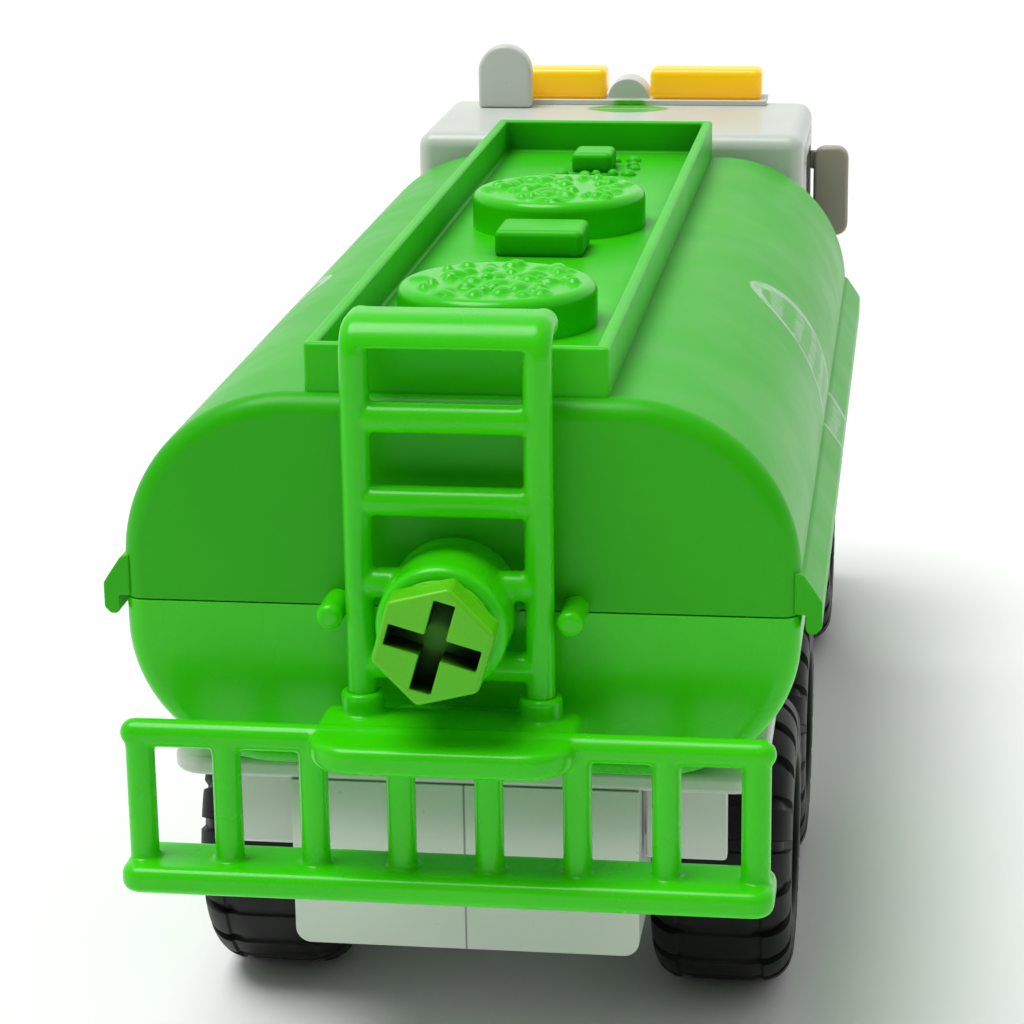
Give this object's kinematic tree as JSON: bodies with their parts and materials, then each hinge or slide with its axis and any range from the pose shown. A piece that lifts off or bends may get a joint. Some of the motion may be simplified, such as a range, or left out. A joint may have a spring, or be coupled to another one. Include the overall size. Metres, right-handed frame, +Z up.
{
  "type": "toy tanker truck",
  "caption": "Plastic take-apart toy tanker truck with a walled walkway and lids on the tank, a rear ladder, a barred guard, a big turnable bolt and rolling wheels.",
  "frame": {"origin": "on the ground under the centre of the truck's length and width", "axes": "+Z up, +Y towards the ladder end, so the cab faces -Y, and X across the truck"},
  "size_m": [0.1072, 0.2916, 0.1278],
  "materials": {
    "green_shell": "bright green moulded plastic, satin gloss",
    "green_trim": "bright green moulded plastic, glossy",
    "lime_bolt": "yellower green moulded plastic, glossy",
    "white_plastic": "off-white moulded plastic, satin",
    "dark_plastic": "black moulded plastic",
    "smoked_clear": "smoked clear plastic",
    "clear_lens": "clear plastic lens",
    "amber_lens": "yellow plastic lens",
    "mirror_plastic": "warm dark grey plastic",
    "steel": "bright steel",
    "tyre": "black soft plastic"
  },
  "bodies": {
    "truck": {"tank_upper_shell": "green_shell", "tank_lower_shell": "green_shell", "walkway_tray": "green_trim", "filler_lid_rear": "green_trim", "filler_lid_front": "green_trim", "seam_pegs": "green_trim", "ladder": "green_trim", "rear_guard": "green_trim", "rear_bolt_nut": "lime_bolt", "tank_screws": "steel", "chassis_screws": "steel", "cab_screws": "steel", "chassis_deck": "white_plastic", "chassis_left": "white_plastic", "chassis_right": "white_plastic", "mudflap_left": "white_plastic", "mudflap_right": "white_plastic", "cab_shell": "white_plastic", "cab_floor": "white_plastic", "cab_windows": "smoked_clear", "grille": "dark_plastic", "front_bumper": "green_trim", "light_bar_base": "white_plastic", "roof_air_intake": "white_plastic", "headlight_left": "clear_lens", "headlight_right": "clear_lens", "mirror_right": "mirror_plastic", "light_lens_left": "amber_lens", "light_lens_right": "amber_lens"},
    "wheels_rear": {"axle_rear": "steel", "hub_rear_left": "green_trim", "hub_rear_right": "green_trim", "tyre_rear_left": "tyre", "tyre_rear_right": "tyre"},
    "wheels_middle": {"axle_middle": "steel", "hub_middle_left": "green_trim", "hub_middle_right": "green_trim", "tyre_middle_left": "tyre", "tyre_middle_right": "tyre"},
    "wheels_front": {"axle_front": "steel", "hub_front_left": "green_trim", "hub_front_right": "green_trim", "tyre_front_left": "tyre", "tyre_front_right": "tyre"},
    "bolt_washer": {"rear_bolt_washer": "lime_bolt"},
    "bolt": {"rear_bolt": "lime_bolt"}
  },
  "joints": [
    {"name": "wheels_rear_spin", "type": "hinge", "parent": "truck", "child": "wheels_rear", "pos_m": [0, 0.07325, 0.024], "axis": [1, 0, 0], "continuous": true},
    {"name": "wheels_middle_spin", "type": "hinge", "parent": "truck", "child": "wheels_middle", "pos_m": [0, 0.02025, 0.024], "axis": [1, 0, 0], "continuous": true},
    {"name": "wheels_front_spin", "type": "hinge", "parent": "truck", "child": "wheels_front", "pos_m": [0, -0.10175, 0.024], "axis": [1, 0, 0], "continuous": true},
    {"name": "bolt_slide", "type": "slide", "parent": "truck", "child": "bolt_washer", "axis": [0, 1, 0], "range_m": [0, 0.012]},
    {"name": "bolt_turn", "type": "hinge", "parent": "bolt_washer", "child": "bolt", "pos_m": [0, 0.13945, 0.0804], "axis": [0, 1, 0], "range_deg": [0, 1441]}
  ],
  "couplings": [
    {"joint": "bolt_turn", "follows": "bolt_slide", "rad_per_m": 2094.4}
  ]
}
